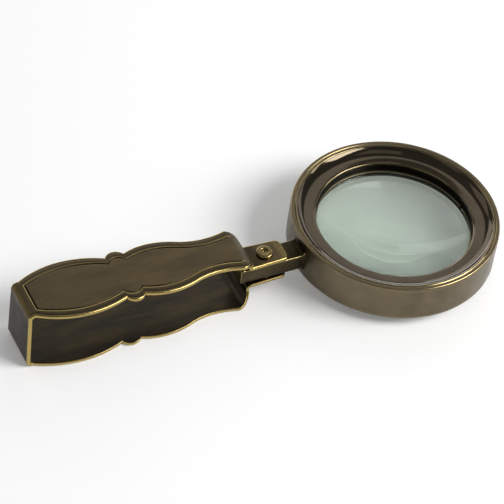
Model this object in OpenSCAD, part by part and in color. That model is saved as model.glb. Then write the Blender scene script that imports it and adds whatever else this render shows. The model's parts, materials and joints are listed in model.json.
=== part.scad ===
// Folding magnifying glass in antique brass.
// A strip of sheet, bent into a long U, is the handle. Its two ends close in to a pair of ears
// that hold the arm of a round lens head, and the head swings in between the plates.
// X runs from the closed end of the handle to the lens, Z is up, and the lower plate rests on z = 0.

/* [Handle] */
// Hinge axis to the outer face of the handle's closed end
handle_reach = 91.6; // [90.8:0.1:96]
// Thickness of the handle's sheet
sheet_t = 1.4; // [1.2:0.1:1.6]
// Outer height of the handle at its closed end
closed_h = 24.6; // [24.4:0.1:30]
// Outer height of the handle at its hinge end
hinge_h = 21.8; // [21.7:0.1:24]
// Half width of the handle at its large bulge
large_half_w = 12.8; // [12.5:0.1:13.2]
// Half width of the handle at the small round lobe
lobe_half_w = 11.75; // [11.5:0.05:12]
// Half width of the handle at its small bulge
small_half_w = 11.75; // [11.5:0.05:12]
// Half width of the handle at its waist
waist_half_w = 8.2; // [7.8:0.05:8.6]
// Distance of the engraved line from the edge of a plate
groove_inset = 3.3; // [2.8:0.1:3.6]
// Width of the engraved line
groove_w = 0.7; // [0.4:0.1:0.9]
// Depth of the engraved line
groove_depth = 0.4; // [0.2:0.1:0.6]

/* [Hinge] */
// Height of the hinge's middle plane above the rest face
hinge_z = 10.6; // [10.5:0.1:10.7]
// Distance from the middle plane to the outer face of an ear
ear_half_h = 5; // [4.9:0.05:5.05]
// Half width of an ear at its root
ear_half_w = 5.4; // [5:0.1:5.6]
// Hinge axis to the tip of an ear
ear_reach = 7.6; // [7:0.1:8]
// Radius of the hinge rivet's shank
rivet_r = 1.5; // [1.2:0.1:1.6]
// Radius of the hinge rivet's head
rivet_head_r = 2.95; // [2.6:0.05:3.2]
// Height of the hinge rivet's head
rivet_head_h = 1.1; // [0.9:0.1:1.5]
// Thickness of a friction washer
washer_t = 0.36; // [0.3:0.02:0.36]

/* [Arm] */
// Half width of the arm
arm_half_w = 4.3; // [4:0.1:4.5]
// Thickness of the arm
arm_t = 6.4; // [5.8:0.1:6.4]
// Hinge axis to the arm's square tail end
arm_tail = 10.5; // [8:0.1:11]
// Radius of the fillets where the arm meets the ring
arm_fillet_r = 1.6; // [1:0.1:1.8]

/* [Lens head] */
// Hinge axis to the lens axis
lens_offset = 51.5; // [51.2:0.1:51.8]
// Outer radius of the ring
ring_r = 37.5; // [37.2:0.1:37.7]
// Height of the ring
ring_h = 14.5; // [14.1:0.1:14.8]
// Height of the ring's middle plane above the arm's
ring_rise = 0.3; // [0:0.1:0.5]
// Wall thickness of the ring's outer band
band_t = 1.5; // [1.3:0.1:1.6]
// Radius of the clear opening above the lens
opening_r = 28.2; // [27.8:0.1:28.4]
// Depth of the bezel's inner lip below the ring's rim
lip_depth = 2.4; // [2.2:0.1:2.6]
// Radius of curvature of each face of the lens
lens_curve_r = 150; // [140:5:220]
// Thickness of the lens at its edge
lens_edge_t = 2.4; // [2:0.1:2.4]

/* [Hidden] */
$fn = 128;
eps = 0.01;
running_gap = 0.05;

// Places along the handle, measured from the hinge axis
hinge_x = (handle_reach - lens_offset - ring_r) / 2;
end_bend_u = -handle_reach + 2.7;
large_u = -71.7;
notch_a_u = -56.7;
lobe_u = -53.25;
notch_b_u = -49.8;
small_u = -40.7;
waist_u = -21.2;
corner_u = -12.2;
neck_u = -7.9;
wall_u = -7;
groove_end_u = end_bend_u + 1.2;

// Radii of the arcs that make up the outline
large_left_r = 36;
large_right_r = 38;
lobe_r = 4;
small_left_r = 24;
small_right_r = 28;
waist_right_r = 33;
// The small bulge runs into the waist with one tangent, which sets the waist's radius
dip = small_half_w - waist_half_w;
waist_left_r = (pow(waist_u - small_u, 2) + dip * dip) / (2 * dip) - small_right_r;
join_u = small_u + (waist_u - small_u) * small_right_r / (small_right_r + waist_left_r);
ear_tip_half_w = ear_half_w - 0.5;
ear_corner_r = 2.2;

// Centreline radii of the bends
end_bend_r = 1.6;
upper_bend_r = 4.8;
lower_bend_r = 4.3;
ear_bend_r = 1.1;

// The lens head, with heights counted from its middle plane
ring_half_h = ring_h / 2;
band_inner_r = ring_r - band_t;
bezel_r = band_inner_r - 0.02;
lip_z = ring_half_h - lip_depth;
cell_r = opening_r + running_gap;
cell_wall = 1.05;
cell_half_h = lip_z - 0.9;
lens_r = opening_r - 0.1;
lens_z = -0.6;
seat_inner_r = 27.5;
gasket_t = 0.2;
lens_sag = lens_curve_r - sqrt(lens_curve_r * lens_curve_r - lens_r * lens_r);
lens_half_t = lens_edge_t / 2 + lens_sag;
seat_z = lens_z - face_z(seat_inner_r) - gasket_t;
snap_t = 0.65;
screw_r = 1.25;
screw_head_r = 2.2;

// Height of the lens's upper face over its middle plane at the radius r
function face_z(r) = lens_half_t - lens_curve_r + sqrt(lens_curve_r * lens_curve_r - r * r);

function unit(v) = v / norm(v);

function turned(v, angle) =
    [v[0] * cos(angle) - v[1] * sin(angle), v[0] * sin(angle) + v[1] * cos(angle)];

// Points of the arc that rounds corner b between a and c
function corner_arc(a, b, c, r, steps) =
    let (d1 = unit(b - a), d2 = unit(c - b))
    let (turn = atan2(cross(d1, d2), d1 * d2))
    let (start = b - d1 * r * tan(abs(turn) / 2))
    let (centre = start + sign(turn) * r * [-d1[1], d1[0]])
    [for (i = [0:steps]) centre + turned(start - centre, turn * i / steps)];

function rounded_path(points, radii, steps) =
    let (last = len(points) - 1)
    [
        points[0],
        for (i = [1:last - 1])
            each corner_arc(points[i - 1], points[i], points[i + 1], radii[i - 1], steps),
        points[last]
    ];

// Direction square to a path at point i, long enough to keep both sides parallel
function path_side(path, i) =
    let (before = unit(path[max(i, 1)] - path[max(i, 1) - 1]))
    let (after = unit(path[min(i + 1, len(path) - 1)] - path[min(i, len(path) - 2)]))
    let (mean = unit(before + after))
    [-mean[1], mean[0]] / (mean * after);

function thickened(path, t) =
    let (last = len(path) - 1)
    [
        for (i = [0:last]) path[i] + path_side(path, i) * t / 2,
        for (i = [last:-1:0]) path[i] - path_side(path, i) * t / 2
    ];

// Height of an outward arc and of an inward arc at a distance du from its crown
function crown(half_w, r, du) = half_w - r + sqrt(r * r - du * du);
function hollow(half_w, r, du) = half_w + r - sqrt(r * r - du * du);

// Half width of a plate at the distance u from the hinge axis
function half_width(u) =
    u <= large_u ? crown(large_half_w, large_left_r, max(u, end_bend_u) - large_u)
    : u < notch_a_u ? crown(large_half_w, large_right_r, u - large_u)
    : u <= notch_b_u ? crown(lobe_half_w, lobe_r, u - lobe_u)
    : u <= small_u ? crown(small_half_w, small_left_r, u - small_u)
    : u <= join_u ? crown(small_half_w, small_right_r, u - small_u)
    : u <= waist_u ? hollow(waist_half_w, waist_left_r, u - waist_u)
    : hollow(waist_half_w, waist_right_r, u - waist_u);

function stretch(from, to, steps) = [for (i = [0:steps - 1]) from + (to - from) * i / steps];

// Stations along a plate, from the closed end to the corner before the hinge
function stations(start) = concat(
    stretch(start, large_u, 14),
    stretch(large_u, notch_a_u - eps, 10),
    stretch(notch_a_u, notch_b_u, 12),
    stretch(notch_b_u + eps, small_u, 6),
    stretch(small_u, join_u, 6),
    stretch(join_u, waist_u, 6),
    stretch(waist_u, corner_u, 6),
    [corner_u]
);

function mirrored(points) = [for (i = [len(points) - 1:-1:0]) [points[i][0], -points[i][1]]];

// Outline of both plates and both ears, seen from above. The strip narrows evenly round the bends
// between the plates and the ears.
module outline() {
    closed_end = [[-handle_reach - 1, half_width(end_bend_u)]];
    plate_edge = [for (u = stations(end_bend_u)) [u, half_width(u)]];
    shoulder = [
        for (a = [15:15:90])
            [
                corner_u + (neck_u - corner_u) * sin(a),
                half_width(corner_u) + (ear_half_w - half_width(corner_u)) * a / 90
            ]
    ];
    ear = rounded_path(
        [[wall_u, ear_half_w], [ear_reach, ear_tip_half_w], [ear_reach, 0]],
        [ear_corner_r], 8
    );
    half = concat(closed_end, plate_edge, shoulder, ear);
    polygon(concat(half, mirrored(half)));
}

// Outer height of the handle over u
function top_z(u) =
    hinge_h + (closed_h - hinge_h) * (corner_u - u) / (corner_u + handle_reach);

// Side view of the bent strip, ear to ear round the closed end
module strip_profile() {
    half_t = sheet_t / 2;
    end_u = -handle_reach + half_t;
    bend_u = wall_u - half_t;
    upper_ear_z = hinge_z + ear_half_h - half_t;
    lower_ear_z = hinge_z - ear_half_h + half_t;
    corners = [
        [ear_reach + 1, upper_ear_z],
        [bend_u, upper_ear_z],
        [bend_u, top_z(bend_u) - half_t],
        [end_u, top_z(end_u) - half_t],
        [end_u, half_t],
        [bend_u, half_t],
        [bend_u, lower_ear_z],
        [ear_reach + 1, lower_ear_z]
    ];
    radii = [ear_bend_r, upper_bend_r, end_bend_r, end_bend_r, lower_bend_r, ear_bend_r];
    polygon(thickened(rounded_path(corners, radii, 8), sheet_t));
}

// Plan of the engraved line, which follows the edge and runs off at the hinge end
module groove_plan() {
    along = stations(groove_end_u);
    near_line = [for (u = along) [u, half_width(u) - groove_inset + groove_w / 2]];
    far_line = [
        [groove_end_u + groove_w, half_width(groove_end_u) - groove_inset - groove_w / 2],
        for (u = along) if (u > groove_end_u + groove_w)
            [u, half_width(u) - groove_inset - groove_w / 2]
    ];
    difference() {
        polygon(concat(near_line, mirrored(near_line)));
        polygon(concat(
            far_line, [[corner_u + 1, 0]], mirrored(far_line)
        ));
    }
}

// Thin slabs that hold the depth of the engraved lines on the upper and lower faces
module groove_depths() {
    a = groove_end_u - 1;
    b = corner_u;
    upper = [[a, top_z(a)], [a, top_z(a) - groove_depth], [b, top_z(b) - groove_depth], [b, top_z(b)]];
    up = [0, 1];
    along_y() polygon([upper[0] + up, upper[1], upper[2], upper[3] + up]);
    along_y() polygon([[a, groove_depth], [a, -1], [b, -1], [b, groove_depth]]);
}

// Extrudes a side view, drawn in X and Z, across the handle
module along_y() {
    rotate([90, 0, 0])
        linear_extrude(height = 40, center = true)
            children();
}

module at_hinge() {
    translate([hinge_x, 0, 0])
        children();
}

module at_lens() {
    translate([hinge_x + lens_offset, 0, hinge_z + ring_rise])
        children();
}

module tube(outer, inner, low, high) {
    translate([0, 0, low])
        difference() {
            cylinder(r = outer, h = high - low);
            translate([0, 0, -1])
                cylinder(r = inner, h = high - low + 2);
        }
}

module handle_frame() {
    color([0.32, 0.28, 0.19])
        at_hinge()
            difference() {
                intersection() {
                    along_y() strip_profile();
                    translate([0, 0, -1])
                        linear_extrude(height = closed_h + 2)
                            outline();
                }
                intersection() {
                    translate([0, 0, -1])
                        linear_extrude(height = closed_h + 2)
                            groove_plan();
                    groove_depths();
                }
                translate([0, 0, hinge_z - ear_half_h - 1])
                    cylinder(r = rivet_r + running_gap, h = 2 * ear_half_h + 2);
            }
}

// Tubular rivet: a dished head above the upper ear and a rolled tail under the burr
module hinge_rivet() {
    head_z = hinge_z + ear_half_h;
    burr_z = hinge_z - ear_half_h - 0.7;
    profile = [
        [0, burr_z - 0.3],
        [1.1, burr_z - 0.3],
        [1.3, burr_z - 0.8],
        [2.0, burr_z - 0.8],
        [2.3, burr_z],
        [rivet_r, burr_z],
        [rivet_r, head_z],
        [rivet_head_r, head_z],
        [rivet_head_r, head_z + 0.4],
        [rivet_head_r - 0.15, head_z + rivet_head_h - 0.4],
        [rivet_head_r - 0.55, head_z + rivet_head_h],
        [rivet_head_r - 1.2, head_z + rivet_head_h],
        [rivet_head_r - 1.7, head_z + rivet_head_h - 0.5],
        [0, head_z + rivet_head_h - 0.6]
    ];
    color([0.5, 0.44, 0.28])
        at_hinge()
            rotate_extrude()
                polygon(profile);
}

module rivet_burr() {
    low = hinge_z - ear_half_h - 0.7;
    color([0.5, 0.44, 0.28])
        at_hinge()
            tube(3.2, rivet_r + running_gap, low, low + 0.7);
}

module friction_washer(low) {
    color([0.6, 0.46, 0.3])
        at_hinge()
            tube(4.0, rivet_r + running_gap, low, low + washer_t);
}

module upper_washer() {
    friction_washer(hinge_z + ear_half_h - sheet_t - washer_t);
}

module lower_washer() {
    friction_washer(hinge_z - ear_half_h + sheet_t);
}

// Square bar with a tail behind the hinge and a filleted foot on the ring
module lens_arm() {
    ring_edge = lens_offset - ring_r;
    half_t = arm_t / 2;
    foot_h = half_t + arm_fillet_r;
    foot_start = ring_edge - arm_fillet_r;
    color([0.36, 0.31, 0.2])
        at_hinge()
            translate([0, 0, hinge_z])
                difference() {
                    union() {
                        translate([-arm_tail, -arm_half_w, -half_t])
                            cube([arm_tail + ring_edge + 1, 2 * arm_half_w, arm_t]);
                        translate([foot_start, -arm_half_w, -foot_h])
                            cube([arm_fillet_r + 1, 2 * arm_half_w, 2 * foot_h]);
                    }
                    for (side = [-1, 1])
                        translate([foot_start, 0, side * foot_h])
                            rotate([90, 0, 0])
                                cylinder(r = arm_fillet_r, h = 4 * arm_half_w, center = true);
                    translate([lens_offset, 0, 0])
                        cylinder(r = ring_r, h = 30, center = true);
                    cylinder(r = rivet_r + running_gap, h = 30, center = true);
                    translate([ring_edge - 7.5, 0, 0])
                        rotate([0, 90, 0])
                            cylinder(r = screw_r + running_gap, h = 10);
                }
}

// Screw that holds the ring to the arm, with its head inside the ring
module arm_screw() {
    head_u = lens_offset - band_inner_r + 0.1;
    color([0.5, 0.44, 0.28])
        at_hinge()
            translate([head_u, 0, hinge_z])
                rotate([0, 90, 0])
                    difference() {
                        union() {
                            translate([0, 0, -8])
                                cylinder(r = screw_r, h = 8);
                            cylinder(r = screw_head_r, h = 1.3);
                        }
                        translate([-3, -0.3, 0.8])
                            cube([6, 0.6, 1]);
                    }
}

// Outer band of the lens head, with a rounded bead at each rim
module lens_ring() {
    bead_r = 0.9;
    bead_centre_r = ring_r - bead_r;
    bead_centre_z = ring_half_h - bead_r;
    rim = [
        [band_inner_r, -ring_half_h + 0.3],
        [band_inner_r + 0.3, -ring_half_h],
        for (a = [-90:15:0]) [bead_centre_r + bead_r * cos(a), -bead_centre_z + bead_r * sin(a)],
        for (a = [0:15:90]) [bead_centre_r + bead_r * cos(a), bead_centre_z + bead_r * sin(a)],
        [band_inner_r + 0.3, ring_half_h],
        [band_inner_r, ring_half_h - 0.3]
    ];
    color([0.5, 0.45, 0.33])
        at_lens()
            difference() {
                rotate_extrude()
                    polygon(rim);
                translate([-ring_r - 2, 0, -ring_rise])
                    rotate([0, 90, 0])
                        cylinder(r = screw_r + running_gap, h = 5);
            }
}

// Dished dress ring: bead at the rim, hollow slope, flat lip and a collar round the lens cell
module bezel() {
    top = ring_half_h;
    slope_end_r = 31;
    slope_start_r = bezel_r - 1.1;
    slope_h = top - 0.5 - (lip_z + 0.35);
    slope_w = slope_start_r - slope_end_r;
    collar_r = cell_r + cell_wall;
    skin = 0.9;
    profile = [
        [bezel_r, top - 3],
        [bezel_r, top - 0.4],
        [bezel_r - 0.3, top - 0.1],
        [bezel_r - 0.6, top],
        [bezel_r - 0.9, top - 0.15],
        for (i = [0:8])
            let (t = i / 8)
            [slope_start_r - slope_w * t, lip_z + 0.35 + slope_h * pow(1 - t, 2)],
        [opening_r + 0.5, lip_z],
        [opening_r, lip_z - 0.4],
        [opening_r, cell_half_h],
        [collar_r, cell_half_h],
        [collar_r, cell_half_h - 1.8],
        [collar_r + skin, cell_half_h - 1.8],
        [collar_r + skin, lip_z - skin],
        [slope_end_r + 1.5, lip_z - skin + 0.3],
        [bezel_r - 1.3, top - 2.2],
        [bezel_r - 1.1, top - 3]
    ];
    rotate_extrude()
        polygon(profile);
}

module upper_bezel() {
    color([0.36, 0.3, 0.19])
        at_lens()
            bezel();
}

module lower_bezel() {
    color([0.36, 0.3, 0.19])
        at_lens()
            mirror([0, 0, 1])
                bezel();
}

// Tube that centres the lens, with a ledge under the lens's edge
module lens_cell() {
    color([0.16, 0.14, 0.1])
        at_lens() {
            tube(cell_r + cell_wall, cell_r, -cell_half_h, cell_half_h);
            tube(cell_r + cell_wall / 2, seat_inner_r, seat_z - 0.7, seat_z);
        }
}

module lens_gasket() {
    color([0.1, 0.1, 0.09])
        at_lens()
            tube(cell_r, seat_inner_r + 0.1, seat_z, seat_z + gasket_t);
}

// Both faces of the lens are spherical, and the edge between them is ground flat
module lens() {
    face_angle = asin(lens_r / lens_curve_r);
    steps = 16;
    face = [
        for (i = [0:steps])
            let (a = face_angle * i / steps)
            [lens_curve_r * sin(a), face_z(lens_curve_r * sin(a))]
    ];
    color([0.72, 0.8, 0.74, 0.5])
        at_lens()
            translate([0, 0, lens_z])
                rotate_extrude()
                    polygon(concat(face, [for (i = [steps:-1:0]) [face[i][0], -face[i][1]]]));
}

// Sprung ring above the lens, split so that it can be pressed together and let in
module retaining_ring() {
    low = lens_z + face_z(seat_inner_r);
    color([0.3, 0.27, 0.2])
        at_lens()
            difference() {
                tube(cell_r, seat_inner_r, low, low + snap_t);
                translate([seat_inner_r - 2, -0.6, low - 1])
                    cube([4, 1.2, 4]);
            }
}

handle_frame();
hinge_rivet();
rivet_burr();
upper_washer();
lower_washer();
lens_arm();
arm_screw();
lens_ring();
upper_bezel();
lower_bezel();
lens_cell();
lens();
lens_gasket();
retaining_ring();
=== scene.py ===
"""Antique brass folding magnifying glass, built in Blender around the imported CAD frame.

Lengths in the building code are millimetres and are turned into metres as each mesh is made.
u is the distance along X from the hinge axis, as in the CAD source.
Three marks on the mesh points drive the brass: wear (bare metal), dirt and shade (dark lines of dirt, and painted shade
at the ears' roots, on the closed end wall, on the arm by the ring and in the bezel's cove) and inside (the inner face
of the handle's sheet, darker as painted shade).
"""

import json
import math

import bmesh
import bpy
import numpy as np
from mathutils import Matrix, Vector


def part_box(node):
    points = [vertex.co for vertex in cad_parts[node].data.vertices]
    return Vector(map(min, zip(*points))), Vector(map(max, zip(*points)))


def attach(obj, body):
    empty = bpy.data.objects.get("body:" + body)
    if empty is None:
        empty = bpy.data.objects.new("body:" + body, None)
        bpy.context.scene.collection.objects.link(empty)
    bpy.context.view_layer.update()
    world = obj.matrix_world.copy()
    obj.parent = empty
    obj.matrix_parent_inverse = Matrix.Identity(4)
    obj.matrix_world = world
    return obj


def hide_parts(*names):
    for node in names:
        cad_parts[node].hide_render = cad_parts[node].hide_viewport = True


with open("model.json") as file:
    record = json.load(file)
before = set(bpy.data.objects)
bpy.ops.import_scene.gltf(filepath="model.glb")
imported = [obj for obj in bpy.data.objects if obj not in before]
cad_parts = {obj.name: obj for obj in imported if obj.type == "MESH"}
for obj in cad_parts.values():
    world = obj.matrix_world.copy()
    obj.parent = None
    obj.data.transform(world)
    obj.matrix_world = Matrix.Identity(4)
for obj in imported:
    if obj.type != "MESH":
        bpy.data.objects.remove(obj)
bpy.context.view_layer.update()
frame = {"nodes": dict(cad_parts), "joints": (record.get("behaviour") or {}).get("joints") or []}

MM = 0.001


def mm_box(node):
    low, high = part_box(node)
    return np.array(low) / MM, np.array(high) / MM


# ---------------------------------------------------------------- places taken from the frame
HINGE = np.array(frame["joints"][0]["pos_m"]) / MM
HINGE_X, HINGE_Z = HINGE[0], HINGE[2]
RING_LOW, RING_HIGH = mm_box("lens_ring")
RING_R = (RING_HIGH[1] - RING_LOW[1]) / 2
RING_HALF_H = (RING_HIGH[2] - RING_LOW[2]) / 2
LENS_X = (RING_LOW[0] + RING_HIGH[0]) / 2
LENS_CENTRE = (LENS_X, 0.0, (RING_LOW[2] + RING_HIGH[2]) / 2)
LENS_OFFSET = LENS_X - HINGE_X
FRAME_LOW, FRAME_HIGH = mm_box("handle_frame")
HANDLE_REACH = HINGE_X - FRAME_LOW[0]
EAR_REACH = FRAME_HIGH[0] - HINGE_X
LARGE_HALF_W = FRAME_HIGH[1]
ARM_LOW, ARM_HIGH = mm_box("lens_arm")
ARM_HALF_W = ARM_HIGH[1]
ARM_TAIL = HINGE_X - ARM_LOW[0]
LENS_R = mm_box("lens")[1][1]
WASHER_R = mm_box("upper_washer")[1][1]
BEZEL_R = mm_box("upper_bezel")[1][1]

# ---------------------------------------------------------------- sizes that the frame's boxes don't give
# Bent sheet of the handle
SHEET_T = 1.4
HALF_T = SHEET_T / 2
CLOSED_H, HINGE_H = 24.6, 21.8
LOBE_HALF_W, SMALL_HALF_W, WAIST_HALF_W = 11.75, 11.75, 8.2
WALL_HALF_W_TOP, WALL_HALF_W_FOOT = 8.3, 8.9
EAR_HALF_H, EAR_HALF_W, EAR_TIP_HALF_W, EAR_CORNER_R = 5.0, 5.4, 4.9, 2.2
END_BEND_R, UPPER_BEND_R, LOWER_BEND_R, EAR_BEND_R = 1.6, 4.8, 4.3, 1.1
SHOULDER = 3.0
OUTER_EDGE_R, INNER_EDGE_R = 0.55, 0.35

# The plates' outline along u
END_BEND_U = -HANDLE_REACH + 2.7
LARGE_U, LOBE_U, SMALL_U, WAIST_U = -71.7, -53.25, -40.7, -21.2
CORNER_U, WALL_U = -12.2, -7.0
LARGE_RIGHT_R, LOBE_R, SMALL_LEFT_R, SMALL_RIGHT_R, WAIST_RIGHT_R = 38, 4, 24, 28, 33

# The engraved line, and the fine line (quirk) beside the edge
GROOVE_INSET, GROOVE_W, GROOVE_DEPTH = 3.3, 0.7, 0.36
GROOVE_END_U = END_BEND_U + 1.2
GROOVE_STATIONS = np.array([-2.6, -1.7, -1, -0.8, -0.25, 0, 0.25, 0.8, 1, 1.7]) * (GROOVE_W / 2)
GROOVE_LIP = (-0.9 * GROOVE_W, -0.49 * GROOVE_W)
QUIRK_INSET, QUIRK_W, QUIRK_DEPTH = 0.85, 0.34, 0.1
BEAD_INSET = 1.7
GROOVE_FADE = 2.2
NOWHERE_NEAR = 99

# Columns across the sheet and rows along it
ACROSS_SHARES = (0.3, 0.6, 0.85)
LARGE_ROWS, LOBE_ROWS, SMALL_ROWS = 50, 25, 62
NOTCH_OFFSETS = np.array([0.08, 0.25])
EDGE_STEPS, BEND_STEPS, TIP_STEPS = 6, 12, 8
EAR_SQUEEZE = 0.42

# Marks, as shares of full wear, dirt or painted shade
GROOVE_LIP_WEAR, EAR_TIP_WEAR = 0.62, 0.42
EDGE_WEAR, INNER_EDGE_WEAR = 0.7, 0.2
END_CREST_WEAR, FOOT_CREST_WEAR, SHOULDER_CREST_WEAR, CREST_WIDTH = 0.75, 0.5, 0.3, 0.16
# The ears' roots and the closed end wall are darkened as painted shade; the border and the fine line take dirt.
BORDER_DIRT, END_WALL_SHADE, EAR_ROOT_SHADE, QUIRK_DIRT = 0.4, 0.75, 0.6, 0.8
GROOVE_DIRT_GAIN = 8
# The bezel's cove and the arm's foot by the ring are darkened as painted shade.
COVE_SHADE, ARM_FOOT_SHADE = 0.3, 0.75
SHARP_WEAR = 0.15

# Hinge
ARM_T, ARM_FILLET_R, ARM_EDGE_R, ARM_TAIL_R, ARM_SINK = 6.4, 1.6, 0.55, 0.3, 0.9
RIVET_R, RIVET_HEAD_R, RIVET_HEAD_H = 1.5, 2.95, 1.1
WASHER_T, BURR_R, BURR_T = 0.36, 3.2, 0.7
HOLE_R, SCREW_HOLE_R = 1.55, 1.3

# Lens head
BAND_T = 1.5
OPENING_R, LIP_DEPTH = 28.2, 2.4
LIP_Z = RING_HALF_H - LIP_DEPTH
COVE_START_R, COVE_END_R, COVE_LOW = BEZEL_R - 1.15, 31.0, LIP_Z + 0.35
COVE_POWER = 2.1
LENS_CURVE_R, LENS_EDGE_T, LENS_Z = 150, 2.4, -0.6
CELL_R, CELL_WALL, SEAT_INNER_R, GASKET_T = 28.25, 1.05, 27.5, 0.2
CELL_HALF_H = LIP_Z - 0.9
SNAP_T, SNAP_GAP = 0.65, 0.043

TINY = 1e-6
SHARP_ANGLE = math.radians(38)


# ---------------------------------------------------------------- mesh helpers
def add_to_scene(name, data):
    made = bpy.data.objects.new(name, data)
    bpy.context.scene.collection.objects.link(made)
    return made


def mesh_object(name, points, faces, marks):
    """A smooth-shaded object from points in millimetres, with one float attribute per mark."""
    mesh = bpy.data.meshes.new(name)
    mesh.from_pydata([tuple(p) for p in np.asarray(points) * MM], [], faces)
    mesh.validate()
    mesh.polygons.foreach_set("use_smooth", np.ones(len(mesh.polygons), bool))
    mesh.set_sharp_from_angle(angle=SHARP_ANGLE)
    for attribute, values in marks.items():
        layer = mesh.attributes.new(attribute, "FLOAT", "POINT")
        layer.data.foreach_set("value", np.asarray(values, np.float32))
    return add_to_scene(name, mesh)


def outward(piece):
    """Turns every face outward."""
    mesh = bmesh.new()
    mesh.from_mesh(piece.data)
    bmesh.ops.recalc_face_normals(mesh, faces=mesh.faces)
    mesh.to_mesh(piece.data)
    mesh.free()
    return piece


def tube_faces(rows, wide):
    """Quads between neighbouring rows of a tube whose rows each hold wide points."""
    return [(r * wide + c, r * wide + (c + 1) % wide, (r + 1) * wide + (c + 1) % wide, (r + 1) * wide + c)
            for r in range(rows - 1) for c in range(wide)]


def drill(piece, centre, axis, radius, length):
    """Cuts a round hole through a piece."""
    steps = 40
    turn = Vector((0, 0, 1)).rotation_difference(Vector(axis)).to_matrix()
    ring = [(radius * math.cos(a), radius * math.sin(a))
            for a in (2 * math.pi * i / steps for i in range(steps))]
    points = [np.array(turn @ Vector((x, y, z))) + centre
              for z in (-length / 2, length / 2) for x, y in ring]
    faces = tube_faces(2, steps) + [tuple(reversed(range(steps))), tuple(range(steps, 2 * steps))]
    cutter = outward(mesh_object("drill", points, faces, {}))
    cut = piece.modifiers.new("hole", "BOOLEAN")
    cut.operation = "DIFFERENCE"
    cut.solver = "EXACT"
    cut.object = cutter
    graph = bpy.context.evaluated_depsgraph_get()
    cut_mesh = bpy.data.meshes.new_from_object(piece.evaluated_get(graph))
    piece.modifiers.clear()
    piece.data = cut_mesh
    bpy.data.objects.remove(cutter)
    return piece


def rounded_corner(before, corner, after, radius, steps):
    """Points of the arc that rounds a corner, and whether it turns left, which is outward on an anticlockwise loop."""
    before, corner, after = map(np.array, (before, corner, after))
    d1 = (corner - before) / np.linalg.norm(corner - before)
    d2 = (after - corner) / np.linalg.norm(after - corner)
    turn = math.atan2(d1[0] * d2[1] - d1[1] * d2[0], d1 @ d2)
    start = corner - d1 * radius * math.tan(abs(turn) / 2)
    centre = start + math.copysign(radius, turn) * np.array([-d1[1], d1[0]])
    arm = start - centre
    arc = []
    for i in range(steps + 1):
        c, s = math.cos(turn * i / steps), math.sin(turn * i / steps)
        arc.append(centre + np.array([arm[0] * c - arm[1] * s, arm[0] * s + arm[1] * c]))
    return arc, turn > 0


def rounded_profile(corners, steps=5, sharp_wear=SHARP_WEAR):
    """Rounds a profile of (r, z, radius) corners, drawn anticlockwise. Returns (r, z, wear, dirt) points.

    Corners of radius 0 stay sharp. The profile is closed, or starts and ends with a sharp corner on the axis.
    """
    profile = []
    for i, (r, z, radius) in enumerate(corners):
        if radius == 0:
            profile.append((r, z, sharp_wear, 0.0))
            continue
        before, after = corners[i - 1][:2], corners[(i + 1) % len(corners)][:2]
        arc, convex = rounded_corner(before, (r, z), after, radius, steps)
        for j, (pr, pz) in enumerate(arc):
            mark = math.sin(math.pi * j / steps)
            profile.append((pr, pz, mark if convex else 0.0, 0.0 if convex else mark))
    return profile


def lathe(name, profile, centre, segments=192, gap=0.0):
    """Turns a profile of (r, z, wear, dirt and shade) about a vertical axis. A gap, in radians, leaves the ring split.
    """
    full = gap == 0
    count = segments if full else segments + 1
    angles = [gap / 2 + (2 * math.pi - gap) * i / segments for i in range(count)]
    closed = profile[0][0] > TINY
    points, faces, wear, dirt_and_shade = [], [], [], []
    index = {}
    for j, (r, z, w, d) in enumerate(profile):
        for i, a in enumerate(angles if r > TINY else angles[:1]):
            index[j, i] = len(points)
            points.append((centre[0] + r * math.cos(a), centre[1] + r * math.sin(a), centre[2] + z))
            wear.append(w)
            dirt_and_shade.append(d)

    def at(j, i):
        return index.get((j, i), index[j, 0])

    rows = len(profile)
    for j in range(rows if closed else rows - 1):
        k = (j + 1) % rows
        for i in range(segments):
            n = (i + 1) % count
            face = list(dict.fromkeys([at(j, i), at(j, n), at(k, n), at(k, i)]))
            if len(face) > 2:
                faces.append(face)
    if not full:
        faces.append([at(j, 0) for j in range(rows)])
        faces.append([at(j, count - 1) for j in reversed(range(rows))])
    return outward(mesh_object(name, points, faces, {"wear": wear, "dirt_and_shade": dirt_and_shade}))


def flat_ring(name, centre, outer, inner, low, high, radius, segments=128, gap=0.0):
    corners = [(inner, low, radius), (outer, low, radius), (outer, high, radius), (inner, high, radius)]
    return lathe(name, rounded_profile(corners, 3), centre, segments, gap)


def give_material(piece, material):
    piece.data.materials.clear()
    piece.data.materials.append(material)


def settle(piece, body, slot, material, *nodes):
    """Gives a piece its body and material, and hides the CAD nodes it stands for. The slot is not used."""
    give_material(piece, material)
    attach(piece, body)
    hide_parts(*nodes)


# ---------------------------------------------------------------- outline of the handle's plates
def crown(half_w, r, du):
    """Half width at du from the middle of a bulge of radius r."""
    return half_w - r + math.sqrt(max(r * r - du * du, 0))


def hollow(half_w, r, du):
    """Half width at du from the middle of a waist of radius r."""
    return half_w + r - math.sqrt(r * r - du * du)


def arc_radius(run, drop):
    """Radius of the arc that falls by drop over run, starting level."""
    return (run * run + drop * drop) / (2 * drop)


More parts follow.
